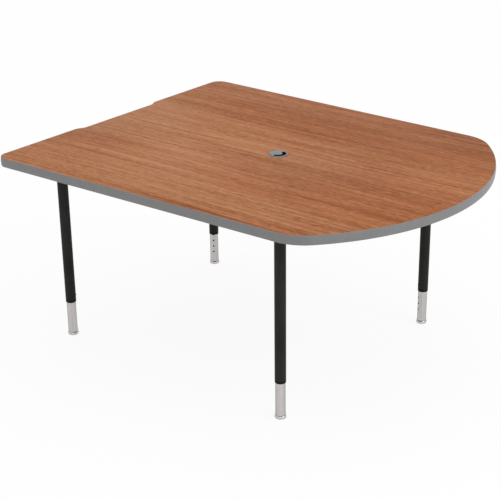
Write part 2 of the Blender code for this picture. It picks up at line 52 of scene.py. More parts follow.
BOW_CORNER_RADIUS = 0.154
BOW_RADIUS = 0.771
NOTCH_DEPTH = 0.015
NOTCH_FLOOR_WIDTH = 0.350
NOTCH_MOUTH_WIDTH = 0.446
END_X = -TOP_LENGTH / 2

# Top, through its thickness
TOP_THICKNESS = 0.03175
LAMINATE_THICKNESS = 0.0012
LAMINATE_EDGE = 0.00025
BACKER_THICKNESS = 0.0008
BAND_THICKNESS = 0.0032
BAND_EDGE_RADIUS = 0.0011
BAND_CROWN = 0.0015
BARB_STEM = 0.0018
BARB_TIP = 0.0026
BARB_PITCH = 0.0047
BARB_COUNT = 2
BARB_RISE = 0.30
BARB_END = 0.85
UNDERSIDE = TOP_HEIGHT - TOP_THICKNESS

# Cable grommet; angles are degrees round its axis
GROMMET_X = END_X + 0.774
GROMMET_HOLE_RADIUS = 0.0309
FLANGE_RADIUS = 0.0339
FLANGE_HEIGHT = 0.0022
FLANGE_ROUND = 0.0009
LINER_DEPTH = 0.022
LINER_WALL = 0.0018
CAP_RADIUS = 0.0304
CAP_THICKNESS = 0.0014
CAP_SKIRT_DEPTH = 0.0045
CAP_SKIRT_WALL = 0.0015
SLOT_RIM = 0.0018
SLOT_WIDTH = 0.0138
SLOT_HEAD_ANGLE = 68.0
SLOT_TAIL_ANGLE = -78.0
SKIRT_CLEARANCE = 21.0

# Legs
END_LEG_X = END_X + 0.1215
END_LEG_Y = 0.4151
BOW_LEG_X = END_X + 1.1190
BOW_LEG_Y = 0.4472
HOLE_ROW_ANGLE = 58.0
TUBE_RADIUS = 0.01905
TUBE_WALL = 0.0012
TUBE_END_HEIGHT = 0.1413
BUSH_COLLAR = 0.0083
BUSH_SLEEVE = 0.0600
BUSH_ROUND = 0.0024
INSERT_RADIUS = 0.0169
INSERT_WALL = 0.0015
INSERT_BOTTOM = 0.0130
INSERT_LENGTH = 0.3720
INSERT_FLARE = 0.0008
FLARE_LENGTH = 0.0150
HOLE_RADIUS = 0.0035
HOLE_PITCH = 0.0254
HOLE_COUNT = 10
LOWEST_HOLE = 0.0571
LOCK_HEIGHT = LOWEST_HOLE + 4 * HOLE_PITCH
LOCK_HEAD_RADIUS = 0.0046
LOCK_HEAD_HEIGHT = 0.0009
LOCK_SHANK_RADIUS = 0.0030
LOCK_SOCKET_RADIUS = 0.0021
LOCK_SOCKET_DEPTH = 0.0015
PLATE_SIDE = 0.1200
PLATE_THICKNESS = 0.0034
PLATE_CORNER = 0.0140
PLATE_EDGE = 0.0004
WELD_LEG = 0.0040
SCREW_SPACING = 0.0920
SCREW_LENGTH = 0.0250
SCREW_RADIUS = 0.0024
SCREW_HEAD_RADIUS = 0.0046
SCREW_HEAD_HEIGHT = 0.0026
SOCKET_LENGTH = 0.0260
SOCKET_EDGE = 0.0004
BALL_HEIGHT = 0.0070
BALL_RADIUS = 0.0045
NECK_RADIUS = 0.0030
STEM_RADIUS = 0.0040
STEM_COLLAR_RADIUS = 0.0070
STEM_COLLAR_HEIGHT = 0.0010
STEM_TIP = 0.0030
GROOVE_RADIUS = STEM_RADIUS * 0.75
CUP_RADIUS = 0.0193
CUP_HEIGHT = 0.0120
CUP_BASE_RADIUS = 0.0166
CUP_TOP_RADIUS = 0.0156
CUP_WALL = 0.0013
CUP_EDGE = 0.0006
CUP_MOUTH_RADIUS = 0.0086
GAP = 0.0003
SLIDE_FIT = 0.0001
BALL_FIT = 0.0004

PLATE_TOP = UNDERSIDE - GAP
PLATE_BOTTOM = PLATE_TOP - PLATE_THICKNESS
TUBE_TOP = PLATE_BOTTOM - GAP
TUBE_BORE = TUBE_RADIUS - TUBE_WALL
INSERT_BORE = INSERT_RADIUS - INSERT_WALL
LINER_BORE = GROMMET_HOLE_RADIUS - GAP - LINER_WALL
SKIN_OFFSET = BAND_THICKNESS + GAP

LEGS = (
    ("end_right", END_LEG_X, -END_LEG_Y, HOLE_ROW_ANGLE),
    ("end_left", END_LEG_X, END_LEG_Y, -HOLE_ROW_ANGLE),
    ("bow_right", BOW_LEG_X, -BOW_LEG_Y, 180.0 - HOLE_ROW_ANGLE),
    ("bow_left", BOW_LEG_X, BOW_LEG_Y, HOLE_ROW_ANGLE - 180.0),
)

# Sides of round pieces and holes
ROUND = 96
FINE_ROUND = 128
SMALL_ROUND = 64
PIN_ROUND = 48
HOLE_ROUND = 40
SCREW_HOLE_ROUND = 24
SCREW_ROUND = 32

# Broken edges
FINE_EDGE = 0.0002
EDGE = 0.0003

# Weld bead, with the ripples of its pools
WELD_REACH = WELD_LEG * 0.9
WELD_RIPPLES = 30
WELD_SIDES = 192
WELD_HOLLOW = 1.4
WELD_SINK = 0.0005
RIPPLE_HEIGHT = 0.10
SWELL_HEIGHT = 0.03
SWELLS = 5

# Reach of a cutter past the face that it cuts
CUTTER_REACH = 0.001

# Where the rounding of a screw head's edge is centred, as a share of the head's radius
HEAD_SHOULDER = 0.55

# Cross recess of the wood screws
RECESS_ARM = 0.0023
RECESS_HALF_WIDTH = 0.00045
RECESS_DEPTH = 0.0016
RECESS_TAPER = 0.55

# Shader inputs, by the names that they have here
SOCKETS = {
    "colour": "Base Color",
    "metallic": "Metallic",
    "roughness": "Roughness",
    "shine": "Specular IOR Level",
    "tint": "Specular Tint",
    "normal": "Normal",
}

# Wood pattern, and the painted sheen, light and shade laid over it
WOOD_TONES = (
    (0.41, (122, 70, 40)),
    (0.47, (146, 88, 55)),
    (0.51, (162, 104, 68)),
    (0.55, (174, 118, 82)),
    (0.61, (188, 135, 100)),
)
RED_WOOD = (172, 100, 62)
DARK_PORE = (100, 58, 38)
LEAF_WIDTH = 0.26
LEAF_START = 17.11
LEAF_SLANT = 0.02
LEAF_TONE = 0.040
LAST_LEAF = 18.0
GRAIN_SWAY = 0.016
# Strength of the broad lighter and darker patches laid where the top catches sheen: painted sheen
PAINTED_SHEEN_TONE = 0.0375
# Top lighter towards the straight end and darker towards the bowed end: painted light and shade along the
# length
LENGTHWISE_LIGHT_AND_SHADE = -0.038
RED_SHARE = 0.25
PORE_SHARE = 0.55

# Other surfaces
PLATING_TINT = (0.45, 0.44, 0.44, 1.0)
CHIP_TONES = ((0.0, (120, 88, 58)), (0.5, (176, 140, 98)), (1.0, (206, 174, 130)))

# Camera, solved from the photograph's outline and legs; pixels of a picture 500 wide and high
PICTURE_SIZE = 500.0
FOCAL_LENGTH = 1314.97
OPTICAL_CENTRE_X = 288.04
OPTICAL_CENTRE_Y = 269.86
SENSOR_WIDTH = 36.0
CAMERA_PLACE = (2.6456, -3.4777, 2.2159)
CAMERA_HEADING = 126.694
CAMERA_PITCH = 23.869
CAMERA_REACH = 200.0

# Studio
FLOOR_REACH = 60.0
FLOOR_SHADE = (0.95, 0.95, 0.95, 1.0)
FLOOR_TINT = (0.97, 0.97, 0.97, 1.0)
WHITE = (1.0, 1.0, 1.0, 1.0)
GLOW_SEEN = 0.90
GLOW_MIRRORED = 0.5
HORIZON_LIGHT = 0.60
OVERHEAD_LIGHT = 1.08
LAMP_PLACE = Vector((4.4, 0.4, 3.4))
LAMP_TARGET = Vector((0.1, 0.0, 0.4))
LAMP_POWER = 62.0
LAMP_SIZE = 3.0


# Camera

def make_camera():
    """The photograph's own viewpoint."""
    lens = bpy.data.cameras.new("camera")
    lens.sensor_width = SENSOR_WIDTH
    lens.lens = SENSOR_WIDTH * FOCAL_LENGTH / PICTURE_SIZE
    lens.shift_x = 0.5 - OPTICAL_CENTRE_X / PICTURE_SIZE
    lens.shift_y = OPTICAL_CENTRE_Y / PICTURE_SIZE - 0.5
    lens.clip_end = CAMERA_REACH
    camera = bpy.data.objects.new("camera", lens)
    bpy.context.collection.objects.link(camera)
    camera.location = CAMERA_PLACE
    heading = math.radians(CAMERA_HEADING)
    pitch = math.radians(CAMERA_PITCH)
    ahead = math.cos(pitch)
    look = Vector((math.cos(heading) * ahead, math.sin(heading) * ahead, -math.sin(pitch)))
    camera.rotation_euler = look.to_track_quat("-Z", "Y").to_euler()
    bpy.context.scene.camera = camera


# Materials

def srgb(red, green, blue):
    """Linear colour of 8-bit sRGB values."""
    def linear(value):
        value /= 255.0
        return value / 12.92 if value <= 0.04045 else ((value + 0.055) / 1.055) ** 2.4
    return (linear(red), linear(green), linear(blue), 1.0)


def add(tree, kind, values=None, **settings):
    """A shader node, its settings, and a value or a link for each input named."""
    made = tree.nodes.new(kind)
    for key, value in settings.items():
        setattr(made, key, value)
    for socket, value in (values or {}).items():
        if isinstance(value, bpy.types.NodeSocket):
            tree.links.new(value, made.inputs[socket])
        else:
            made.inputs[socket].default_value = value
    return made


def noise(tree, per_metre, detail=3.0, roughness=0.5, shift=(0.0, 0.0, 0.0), warp=None):
    """Noise in the piece's own space, with its number of features per metre along each axis."""
    place = add(tree, "ShaderNodeTexCoord").outputs["Object"]
    if warp is not None:
        place = add(tree, "ShaderNodeVectorMath", {0: place, 1: warp}, operation="ADD").outputs[0]
    mapped = add(tree, "ShaderNodeMapping", {"Vector": place, "Scale": per_metre, "Location": shift})
    return add(tree, "ShaderNodeTexNoise", {"Vector": mapped.outputs[0], "Scale": 1.0, "Detail": detail,
                                            "Roughness": roughness}).outputs["Fac"]


def maths(tree, operation, first, second):
    """Result of one operation on two values."""
    return add(tree, "ShaderNodeMath", {0: first, 1: second}, operation=operation).outputs[0]


def weighted(tree, pairs):
    """Sum of (factor, weight) pairs."""
    total = None
    for factor, weight in pairs:
        part = maths(tree, "MULTIPLY", factor, weight)
        total = part if total is None else maths(tree, "ADD", total, part)
    return total


def span(tree, factor, low, high, out_low=0.0, out_high=1.0):
    """Value stretched from one range to another, held at its ends."""
    return add(tree, "ShaderNodeMapRange", {"Value": factor, "From Min": low, "From Max": high,
                                            "To Min": out_low, "To Max": out_high}).outputs[0]


def ramp(tree, factor, stops):
    """Colour along a scale of (position, 8-bit sRGB values) stops."""
    made = add(tree, "ShaderNodeValToRGB", {"Fac": factor})
    points = made.color_ramp.elements
    for point, (position, colour) in zip(points, (stops[0], stops[-1])):
        point.position = position
        point.color = srgb(*colour)
    for position, colour in stops[1:-1]:
        points.new(position).color = srgb(*colour)
    return made.outputs["Color"]


def mix(tree, factor, first, second):
    """Colour between two colours."""
    return add(tree, "ShaderNodeMix", {0: factor, 6: first, 7: second}, data_type="RGBA").outputs[2]


def bump(tree, height, distance, strength, under=None):
    """Normal tilted by a height field, on top of another one where that is given."""
    values = {"Height": height, "Distance": distance, "Strength": strength}
    if under is not None:
        values["Normal"] = under
    return add(tree, "ShaderNodeBump", values).outputs["Normal"]


def new_material(name, **values):
    """A material and its shader, with the values that are the same all over set on the shader itself."""
    made = bpy.data.materials.new(name)
    made.use_nodes = True
    shader = made.node_tree.nodes["Principled BSDF"]
    for key, value in values.items():
        shader.inputs[SOCKETS[key]].default_value = value
    return made, made.node_tree, shader


def feed(tree, shader, **links):
    """Link what changes over the surface to the shader."""
    for key, value in links.items():
        tree.links.new(value, shader.inputs[SOCKETS[key]])


def leaf_shift(tree, x, y):
    """The wood pattern is printed as leaves lying side by side: a random place and tone for each."""
    edge = noise(tree, (0.8, 0.8, 1.0), 1.0, 0.5, (9.0, 2.0, 0.0))
    across = weighted(tree, [(y, 1.0 / LEAF_WIDTH), (x, LEAF_SLANT / LEAF_WIDTH), (edge, 0.08)])
    leaf = maths(tree, "FLOOR", maths(tree, "ADD", across, LEAF_START), 0.0)
    leaf = maths(tree, "MINIMUM", leaf, LAST_LEAF)
    drawn = add(tree, "ShaderNodeTexWhiteNoise", {"W": leaf}, noise_dimensions="1D").outputs
    shift = add(tree, "ShaderNodeVectorMath", {0: drawn["Color"], 1: (3.0, 7.0, 0.0)}, operation="MULTIPLY")
    return shift.outputs[0], drawn["Value"]


def wood_material():
    """Straight-grained red-brown wood pattern along X, under a matte laminate surface, with broad patches of
    painted sheen and painted light and shade along its length.
    """
    made, tree, shader = new_material("wood_laminate", shine=0.03)
    place = add(tree, "ShaderNodeTexCoord").outputs["Object"]
    place = add(tree, "ShaderNodeSeparateXYZ", {0: place}).outputs
    shift, leaf_tone = leaf_shift(tree, place["X"], place["Y"])
    sway = span(tree, noise(tree, (0.9, 2.6, 1.0), 2.0), 0.3, 0.7, -GRAIN_SWAY, GRAIN_SWAY)
    sway = add(tree, "ShaderNodeCombineXYZ", {"Y": sway}).outputs[0]
    sway = add(tree, "ShaderNodeVectorMath", {0: sway, 1: shift}, operation="ADD").outputs[0]
    broad = noise(tree, (1.6, 4.0, 1.0), 3.0, 0.5, (3.1, 7.7, 0.0))
    bands = noise(tree, (0.8, 22.0, 1.0), 3.0, 0.55, (11.3, 2.9, 0.0), sway)
    lines = noise(tree, (1.3, 84.0, 1.0), 3.0, 0.55, (4.3, 5.9, 0.0), sway)
    streaks = noise(tree, (2.2, 200.0, 1.0), 3.0, 0.6, (5.1, 8.3, 0.0), sway)
    dashes = noise(tree, (26.0, 230.0, 1.0), 2.0, 0.6, (2.6, 3.7, 0.0), sway)
    fibre = noise(tree, (22.0, 620.0, 1.0), 3.0, 0.7, (1.7, 4.1, 0.0), sway)
    flecks = noise(tree, (48.0, 175.0, 1.0), 2.0, 0.6, (6.1, 0.9, 0.0))
    tone = weighted(tree, [(broad, 0.07), (bands, 0.12), (lines, 0.17), (streaks, 0.21), (dashes, 0.15),
                           (fibre, 0.11), (flecks, 0.18)])
    # Broad patches placed where the top shows sheen, lighter there and darker between: painted sheen
    sheen_patches = noise(tree, (1.1, 2.2, 0.0), 1.0, 0.5, (95.81, 92.34, 0.0))
    sheen_patches = span(tree, sheen_patches, 0.3, 0.8, -PAINTED_SHEEN_TONE, PAINTED_SHEEN_TONE)
    # The painted sheen patches and the painted light and shade along X go into the tone here
    tone = weighted(tree, [(tone, 1.0), (sheen_patches, 1.0), (leaf_tone, LEAF_TONE),
                           (place["X"], LENGTHWISE_LIGHT_AND_SHADE)])
    colour = ramp(tree, tone, WOOD_TONES)
    red = span(tree, noise(tree, (0.8, 26.0, 1.0), 4.0, 0.6, (21.0, 3.3, 0.0), sway), 0.44, 0.62)
    colour = mix(tree, maths(tree, "MULTIPLY", red, RED_SHARE), colour, srgb(*RED_WOOD))
    pores = noise(tree, (40.0, 1100.0, 1.0), 1.0, 0.5, (2.2, 6.6, 0.0), sway)
    gate = span(tree, noise(tree, (3.0, 60.0, 1.0), 2.0, 0.5, (8.0, 1.0, 0.0), sway), 0.38, 0.60)
    pores = maths(tree, "MULTIPLY", span(tree, pores, 0.56, 0.63), gate)
    colour = mix(tree, maths(tree, "MULTIPLY", pores, PORE_SHARE), colour, srgb(*DARK_PORE))
    grain = weighted(tree, [(fibre, 0.5), (pores, -0.8)])
    skin = noise(tree, (900.0, 900.0, 900.0), 2.0)
    normal = bump(tree, grain, 0.00006, 0.6)
    normal = bump(tree, skin, 0.00003, 0.5, normal)
    wear = noise(tree, (6.0, 6.0, 6.0), 4.0, 0.6, (4.0, 4.0, 0.0))
    rough = weighted(tree, [(wear, 0.16), (fibre, 0.10)])
    feed(tree, shader, colour=colour, normal=normal, roughness=maths(tree, "ADD", rough, 0.42))
    return made


def moulded_material(name, colour, variation, roughness, texture, shine=0.3):
    """Moulded plastic: fine eroded texture, slight drift of colour and gloss."""
    made, tree, shader = new_material(name, shine=shine)
    drift = span(tree, noise(tree, (24.0, 24.0, 24.0), 4.0), 0.35, 0.65)
    speck = span(tree, noise(tree, (700.0, 700.0, 700.0), 2.0, 0.5, (3.0, 1.0, 2.0)), 0.35, 0.65)
    tone = weighted(tree, [(drift, 0.6), (speck, 0.4)])
    dark = tuple(value * (1.0 - variation) for value in colour[:3]) + (1.0,)
    light = tuple(value * (1.0 + variation) for value in colour[:3]) + (1.0,)
    grain = noise(tree, (1500.0, 1500.0, 1500.0), 2.0)
    feed(tree, shader, colour=mix(tree, tone, dark, light),
         roughness=span(tree, tone, 0.0, 1.0, roughness - 0.06, roughness + 0.08),
         normal=bump(tree, grain, texture, 0.7))
    return made


def powder_coat_material():
    """Black baked paint with a fine orange-peel surface."""
    made, tree, shader = new_material("powder_coat", shine=0.1)
    peel = noise(tree, (620.0, 620.0, 620.0), 2.0, 0.5)
    pits = noise(tree, (2400.0, 2400.0, 2400.0), 1.0)
    drift = span(tree, noise(tree, (9.0, 9.0, 5.0), 4.0, 0.6), 0.35, 0.65)
    scuff = span(tree, noise(tree, (260.0, 260.0, 14.0), 3.0, 0.6, (7.0, 2.0, 1.0)), 0.63, 0.74)
    colour = mix(tree, drift, srgb(33, 33, 31), srgb(45, 45, 43))
    colour = mix(tree, maths(tree, "MULTIPLY", scuff, 0.25), colour, srgb(92, 92, 90))
    normal = bump(tree, peel, 0.00008, 0.8)
    normal = bump(tree, pits, 0.00002, 0.6, normal)
    feed(tree, shader, colour=colour, normal=normal,
         roughness=span(tree, drift, 0.0, 1.0, 0.45, 0.60))
    return made


def plated_material(name, tint, low, high, streak_density):
    """Bright plating over drawn steel: lines along the tube that darken its colour, as painted reflection
    bands over faint draw marks, and smudges, its roughness low to high.
    """
    made, tree, shader = new_material(name, metallic=1.0, tint=PLATING_TINT)
    lines = noise(tree, (streak_density, streak_density, 1.2), 3.0, 0.6)
    hair = noise(tree, (1800.0, 1800.0, 22.0), 2.0, 0.5, (4.0, 4.0, 0.0))
    smudge = noise(tree, (60.0, 60.0, 45.0), 4.0, 0.65, (1.0, 9.0, 3.0))
    tone = weighted(tree, [(lines, 0.75), (smudge, 0.25)])
    # Where the lines run dark the colour falls to four fifths of the tint: painted reflection bands along the
    # tube, over faint draw marks
    dark = tuple(value * 0.80 for value in tint[:3]) + (1.0,)
    colour = mix(tree, span(tree, tone, 0.38, 0.62), dark, tint)
    gloss = weighted(tree, [(lines, 0.45), (hair, 0.2), (smudge, 0.35)])
    feed(tree, shader, colour=colour, roughness=span(tree, gloss, 0.38, 0.62, low, high),
         normal=bump(tree, weighted(tree, [(hair, 0.6), (lines, 0.4)]), 0.00002, 0.4))
    return made


def zinc_material():
    """Zinc-plated fasteners: cloudy passivation and a grainy sheen."""
    made, tree, shader = new_material("zinc", metallic=1.0)
    cloud = span(tree, noise(tree, (300.0, 300.0, 300.0), 4.0, 0.6), 0.35, 0.65)
    grain = noise(tree, (2500.0, 2500.0, 2500.0), 2.0)
    feed(tree, shader, colour=mix(tree, cloud, srgb(150, 152, 150), srgb(196, 195, 186)),
         roughness=span(tree, cloud, 0.0, 1.0, 0.30, 0.48), normal=bump(tree, grain, 0.00002, 0.5))
    return made


def bore_material():
    """Bare steel inside the inserts, where the plating doesn't reach: dull, with brown oxide, and dark enough
    to stand as painted shade inside the holes.
    """
    made, tree, shader = new_material("bare_steel_and_shade", metallic=0.6)
    cloud = span(tree, noise(tree, (180.0, 180.0, 60.0), 4.0, 0.65), 0.35, 0.65)
    scale = noise(tree, (1400.0, 1400.0, 700.0), 3.0, 0.6)
    feed(tree, shader, colour=mix(tree, cloud, srgb(44, 41, 39), srgb(70, 64, 59)),
         roughness=span(tree, cloud, 0.0, 1.0, 0.55, 0.75), normal=bump(tree, scale, 0.00004, 0.6))
    return made


def chipboard_material():
    """Pressed wood chips, as the cut wall of the grommet's hole shows them."""
    made, tree, shader = new_material("chipboard")
    place = add(tree, "ShaderNodeTexCoord").outputs["Object"]
    place = add(tree, "ShaderNodeMapping", {"Vector": place, "Scale": (320.0, 320.0, 900.0)}).outputs[0]
    chips = add(tree, "ShaderNodeTexVoronoi", {"Vector": place, "Scale": 1.0})
    shade = add(tree, "ShaderNodeSeparateColor", {0: chips.outputs["Color"]}).outputs[0]
    colour = ramp(tree, shade, CHIP_TONES)
    feed(tree, shader, colour=colour, normal=bump(tree, chips.outputs["Distance"], 0.0003, 0.8),
         roughness=span(tree, shade, 0.0, 1.0, 0.78, 0.95))
    return made


def backer_material():
    """Brown resin-soaked paper, sanded, with a faint print of the sanding belt."""
    made, tree, shader = new_material("backer_paper")
    mottle = span(tree, noise(tree, (40.0, 40.0, 1.0), 5.0, 0.65), 0.35, 0.65)
    belt = noise(tree, (4.0, 500.0, 1.0), 3.0, 0.6)
    tone = weighted(tree, [(mottle, 0.65), (belt, 0.35)])
    feed(tree, shader, colour=mix(tree, tone, srgb(84, 68, 56), srgb(122, 102, 86)),
         roughness=span(tree, tone, 0.0, 1.0, 0.62, 0.80),
         normal=bump(tree, weighted(tree, [(belt, 0.6), (mottle, 0.4)]), 0.00008, 0.6))
    return made


def make_materials():
    """Every material, by the name of its slot."""
    return {
        "laminate": wood_material(),
        "core": chipboard_material(),
        "backer": backer_material(),
        "band": moulded_material("edge_band_plastic", srgb(125, 124, 125), variation=0.05, roughness=0.42,
                                 texture=0.00005),
        "grommet": moulded_material("grommet_plastic", srgb(115, 123, 127), variation=0.05, roughness=0.42,
                                    texture=0.00004),
        "black_paint": powder_coat_material(),
        # Also laid on the grommet's inner faces as painted shade
        "black_plastic": moulded_material("black_plastic", srgb(17, 17, 17), variation=0.15, roughness=0.48,
                                          texture=0.00004, shine=0.1),
        "chrome": plated_material("chrome_plate", srgb(211, 207, 207), low=0.10, high=0.24, streak_density=260.0),
        "nickel": plated_material("glide_plate", srgb(213, 210, 209), low=0.12, high=0.28, streak_density=180.0),
        "zinc": zinc_material(),
        "bore": bore_material(),
    }


# Shapes

def arc(centre, radius, start, end, steps):
    """Points on an arc, angles in degrees, both ends included."""
    points = []
    for step in range(steps + 1):
        angle = math.radians(start + (end - start) * step / steps)
        points.append((centre[0] + radius * math.cos(angle), centre[1] + radius * math.sin(angle)))
    return points


def circle(radius, sides=ROUND, centre=(0.0, 0.0)):
    """Points of a full circle, each once."""
    return arc(centre, radius, 0.0, 360.0, sides)[:-1]


def join_rings(bm, near, far):
    """Faces between two rings of vertices, of which one may be a single point."""
    sides = max(len(near), len(far))
    for index in range(sides):
        after = (index + 1) % sides
        corners = (near[index % len(near)], near[after % len(near)], far[after % len(far)],
                   far[index % len(far)])
        bm.faces.new(tuple(dict.fromkeys(corners)))


def revolve(profile, sides=ROUND, closed=True):
    """Turn a profile of (radius, height) points round Z, its vertices in the same order each run."""
    bm = bmesh.new()
    rings = []
    for radius, height in profile:
        ring = circle(radius, sides) if radius > 0.0 else [(0.0, 0.0)]
        rings.append([bm.verts.new((x, y, height)) for x, y in ring])
    pairs = list(zip(rings, rings[1:]))
    if closed:
        pairs.append((rings[-1], rings[0]))
    for near, far in pairs:
        join_rings(bm, near, far)
    return bm


def add_prism(bm, near, far):
    """Closed solid between two outlines, which have as many points."""
    ends = [[bm.verts.new(point) for point in outline] for outline in (near, far)]
    for end in ends:
        bm.faces.new(end)
    join_rings(bm, *ends)


def slab(outer, holes, bottom, top):
    """Flat plate between two heights, with holes through it."""
    bm = bmesh.new()
    for loop in [outer] + holes:
        low = [bm.verts.new((x, y, bottom)) for x, y in loop]
        high = [bm.verts.new((x, y, top)) for x, y in loop]
        join_rings(bm, low, high)
    for level in (bottom, top):
        rim = [edge for edge in bm.edges if all(abs(v.co.z - level) < 1e-7 for v in edge.verts)]
        bmesh.ops.triangle_fill(bm, use_beauty=True, edges=rim)
    bmesh.ops.recalc_face_normals(bm, faces=bm.faces)
    return bm


def soften(bm, width, segments=2, above=40.0):
    """Round the sharp edges."""
    limit = math.radians(above)
    sharp = [edge for edge in bm.edges if len(edge.link_faces) == 2 and edge.calc_face_angle(0.0) > limit]
    bmesh.ops.bevel(bm, geom=sharp, offset=width, segments=segments, profile=0.5, affect="EDGES",
                    clamp_overlap=True)
    return bm


def to_mesh(name, bm, sharp=35.0):
    """Finished mesh, smooth but for edges sharper than the angle."""
    bmesh.ops.recalc_face_normals(bm, faces=bm.faces)
    mesh = bpy.data.meshes.new(name)
    bm.to_mesh(mesh)
    bm.free()
    mesh.shade_smooth()
    mesh.set_sharp_from_angle(angle=math.radians(sharp))
    return mesh


def piece(name, mesh, body, slot, node=None, where=(0.0, 0.0, 0.0), turn=0.0):
    """Put a mesh in place, let it ride on its body and stand for its CAD node."""
    made = bpy.data.objects.new(name, mesh)
    bpy.context.collection.objects.link(made)
    made.location = where
    made.rotation_euler = (0.0, 0.0, math.radians(turn))
    if not mesh.materials:
        mesh.materials.append(paint[slot])
    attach(made, body)
    if node is not None:
        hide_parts(node)


def cut_mesh(name, bm, cutter, sharp=35.0):
    """Mesh of one shape less another."""
    target = bpy.data.objects.new(name, to_mesh(name, bm, sharp))
    tool = bpy.data.objects.new(name + "_tool", to_mesh(name + "_tool", cutter))
    for item in (target, tool):
        bpy.context.collection.objects.link(item)
    boolean = target.modifiers.new("cut", "BOOLEAN")
    boolean.operation = "DIFFERENCE"
    boolean.solver = "EXACT"
    boolean.object = tool
    ready = target.evaluated_get(bpy.context.evaluated_depsgraph_get())
    mesh = bpy.data.meshes.new_from_object(ready)
    for item in (target, tool):
        bpy.data.objects.remove(item, do_unlink=True)
    mesh.shade_smooth()
    mesh.set_sharp_from_angle(angle=math.radians(sharp))
    return mesh


def round_shading(mesh):
    """Normals of a turned wall follow the round and not its facets."""
    normals = []
    for face in mesh.polygons:
        for index in face.loop_indices:
            at = mesh.vertices[mesh.loops[index].vertex_index].co
            out = Vector((at.x, at.y, 0.0)).normalized()
            lean = out.dot(face.normal)
            if abs(lean) > 0.99:
                normal = out * math.copysign(1.0, lean)
                normal.z = face.normal.z
                normals.append(normal.normalized())
            else:
                normals.append(face.normal.copy())
    mesh.normals_split_custom_set(normals)


def notch_curve(steps=14):
    """Left half of the cable notch: one arc out of its floor and one back into the straight end."""
    run = (NOTCH_MOUTH_WIDTH - NOTCH_FLOOR_WIDTH) / 4
    rise = NOTCH_DEPTH / 2
    radius = (run * run + rise * rise) / (2 * rise)
    sweep = math.degrees(math.asin(run / radius))
    inner = arc((END_X + NOTCH_DEPTH - radius, NOTCH_FLOOR_WIDTH / 2), radius, 0.0, sweep, steps)
    outer = arc((END_X + radius, NOTCH_MOUTH_WIDTH / 2), radius, 180.0 + sweep, 180.0, steps)
    return inner + outer[1:]


def top_outline():
    """Outer face of the edge band, anticlockwise from above."""
    taper = math.atan(SIDE_TAPER)
    half = TOP_WIDTH / 2
    corner = END_CORNER_RADIUS
    corner_y = half - SIDE_TAPER * corner - corner / math.cos(taper)
    bow_x = TOP_LENGTH / 2 - BOW_RADIUS
    inner = BOW_RADIUS - BOW_CORNER_RADIUS
    base_y = half - SIDE_TAPER * (bow_x - END_X) - BOW_CORNER_RADIUS / math.cos(taper)
    slope = 1 + SIDE_TAPER ** 2
    half_sum = SIDE_TAPER * base_y
    ahead = (half_sum + math.sqrt(half_sum ** 2 - slope * (base_y ** 2 - inner ** 2))) / slope
    bow_corner = (bow_x + ahead, base_y - SIDE_TAPER * ahead)
    lean = math.degrees(math.atan2(bow_corner[1], ahead))
    side = 90.0 - math.degrees(taper)
    left = notch_curve()
    left += arc((END_X + corner, corner_y), corner, 180.0, side, 20)
    left += arc(bow_corner, BOW_CORNER_RADIUS, side, lean, 28)
    left += arc((bow_x, 0.0), BOW_RADIUS, lean, 0.0, 60)[1:]
    return [(x, -y) for x, y in left[:-1]] + left[::-1]


def offset(points, inward):
    """Outline moved inward by a distance, its corners mitred."""
    moved = []
    for index, (x, y) in enumerate(points):
        before = points[index - 1]
        after = points[(index + 1) % len(points)]
        in_x, in_y = x - before[0], y - before[1]
        out_x, out_y = after[0] - x, after[1] - y
        in_length, out_length = math.hypot(in_x, in_y), math.hypot(out_x, out_y)
        normal_x = -in_y / in_length - out_y / out_length
        normal_y = in_x / in_length + out_x / out_length
        scale = 2 * inward / (normal_x ** 2 + normal_y ** 2)
        moved.append((x + normal_x * scale, y + normal_y * scale))
    return moved


def band_profile():
    """T-shaped section: crowned face outside, rounded at its edges, and a barbed tongue inside."""
    half = TOP_THICKNESS / 2
    mid = UNDERSIDE + half
    flat = half - BAND_EDGE_RADIUS
    face = [(BAND_EDGE_RADIUS * (1.0 - math.cos(math.radians(bend))),
             flat + BAND_EDGE_RADIUS * math.sin(math.radians(bend))) for bend in range(10, 100, 10)]
    face = [(0.0, flat * step / 5) for step in range(6)] + face
    face = [(inward + BAND_CROWN * (rise / half) ** 2, rise) for inward, rise in face]
    points = [(inward, mid - rise) for inward, rise in reversed(face[1:])]
    points += [(inward, mid + rise) for inward, rise in face]
    points.append((BAND_THICKNESS, TOP_HEIGHT))
    stem, tip = BARB_STEM / 2, BARB_TIP / 2
    upper = [(BAND_THICKNESS, mid + stem)]
    for barb in range(BARB_COUNT):
        start = BAND_THICKNESS + BARB_PITCH * barb + GAP
        upper += [(start + BARB_PITCH * BARB_RISE, mid + tip), (start + BARB_PITCH * BARB_END, mid + stem)]
    points += upper + [(inward, 2 * mid - height) for inward, height in reversed(upper)]
    points.append((BAND_THICKNESS, UNDERSIDE))
    return points


def band_loft(outline, profile):
    """Section of (distance inward, height) points carried round the outline."""
    bm = bmesh.new()
    rings = []
    for inward, height in profile:
        rings.append([bm.verts.new((x, y, height)) for x, y in offset(outline, inward)])
    for low, high in zip(rings, rings[1:] + rings[:1]):
        join_rings(bm, low, high)
    return bm


# Table top

def make_top():
    """Laminate, backer and edge band round the core board of the frame."""
    outline = top_outline()
    skin = offset(outline, SKIN_OFFSET)
    bore = circle(GROMMET_HOLE_RADIUS, ROUND, (GROMMET_X, 0.0))
    laminate = soften(slab(skin, [bore], TOP_HEIGHT - LAMINATE_THICKNESS, TOP_HEIGHT), LAMINATE_EDGE)
    piece("wood_top", to_mesh("wood_top", laminate), "table_frame", "laminate", "laminate_top")
    backer = slab(skin, [bore], UNDERSIDE, UNDERSIDE + BACKER_THICKNESS)
    piece("backer", to_mesh("backer", backer), "table_frame", "backer", "backer_sheet")
    band = band_loft(outline, band_profile())
    piece("band", to_mesh("band", band, 50.0), "table_frame", "band", "edge_band")


